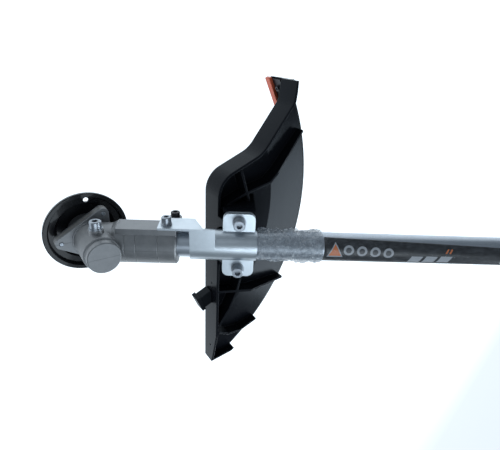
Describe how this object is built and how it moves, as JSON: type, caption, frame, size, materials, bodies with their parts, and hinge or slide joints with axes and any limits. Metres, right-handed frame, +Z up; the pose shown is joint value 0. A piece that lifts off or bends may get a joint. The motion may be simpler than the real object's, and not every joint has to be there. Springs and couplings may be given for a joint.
{
  "type": "string trimmer",
  "caption": "Lower end of a string trimmer: angled bevel gear head with thrust cup and bare spindle, clamped to a tubular boom with drive shaft, ribbed guard and line cutter.",
  "frame": {"origin": "on the spindle axis, in the face of the thrust cup that a cutting head seats on", "axes": "+Z up along the spindle; the boom rises towards +X in the XZ plane; +Y is the side of the filler screw"},
  "size_m": [0.4583, 0.2964, 0.3184],
  "materials": {
    "cast_aluminium": "fine cast, lightly blasted",
    "tube_aluminium": "drawn, satin anodised",
    "gear_steel": "machined and hardened",
    "bearing_steel": "ground and polished",
    "zinc_steel": "bright zinc plated",
    "black_steel": "black oxide",
    "cup_enamel": "gloss black enamel",
    "guard_plastic": "moulded black polypropylene",
    "lug_plastic": "moulded, satin",
    "cover_orange": "moulded orange plastic",
    "bush_bronze": "sintered bronze",
    "carrier_rubber": "moulded rubber",
    "end_plastic": "moulded, satin",
    "gasket_fibre": "pressed fibre",
    "label_print": "printed adhesive film",
    "wrap_film": "clear protective film"
  },
  "bodies": {
    "boom_unit": {"gear_housing": "cast_aluminium", "bottom_cover": "cast_aluminium", "cover_gasket": "gasket_fibre", "cover_screws": "zinc_steel", "filler_screw": "zinc_steel", "filler_washer": "zinc_steel", "clamp_screw": "black_steel", "top_bearing_outer_ring": "bearing_steel", "top_bearing_balls": "bearing_steel", "lower_bearing_outer_ring": "bearing_steel", "lower_bearing_balls": "bearing_steel", "front_pinion_bearing_outer_ring": "bearing_steel", "front_pinion_bearing_balls": "bearing_steel", "rear_pinion_bearing_outer_ring": "bearing_steel", "rear_pinion_bearing_balls": "bearing_steel", "lower_bearing_circlip": "black_steel", "pinion_bearing_circlip": "black_steel", "spindle_seal": "carrier_rubber", "boom_tube": "tube_aluminium", "tube_end_bush": "end_plastic", "shaft_bushes": "bush_bronze", "bush_carriers": "carrier_rubber", "bracket_saddle": "zinc_steel", "bracket_base": "zinc_steel", "wing_spacers": "zinc_steel", "bracket_washers": "zinc_steel", "bracket_screws": "zinc_steel", "bracket_nuts": "zinc_steel", "tab_screw": "zinc_steel", "tab_washers": "zinc_steel", "guard_shell": "guard_plastic", "line_cutter": "zinc_steel", "cutter_screws": "zinc_steel", "cutter_cover": "cover_orange", "front_lug": "lug_plastic", "front_lug_cap": "lug_plastic", "boom_label": "label_print", "crumpled_film": "wrap_film", "smooth_film": "wrap_film"},
    "drive": {"input_pinion": "gear_steel", "drive_shaft": "gear_steel", "pinion_clip": "black_steel", "front_pinion_bearing_inner_ring": "bearing_steel", "rear_pinion_bearing_inner_ring": "bearing_steel"},
    "spindle": {"output_spindle": "gear_steel", "output_gear": "gear_steel", "thrust_cup": "cup_enamel", "top_bearing_inner_ring": "bearing_steel", "lower_bearing_inner_ring": "bearing_steel"}
  },
  "joints": [
    {"name": "drive_shaft_spin", "type": "hinge", "parent": "boom_unit", "child": "drive", "pos_m": [0, 0, 0.0317], "axis": [0.848, 0, 0.5299], "continuous": true},
    {"name": "spindle_spin", "type": "hinge", "parent": "boom_unit", "child": "spindle", "pos_m": [0, 0, 0.0317], "axis": [0, 0, 1], "continuous": true}
  ],
  "couplings": [
    {"joint": "spindle_spin", "follows": "drive_shaft_spin", "ratio": -0.71429}
  ]
}
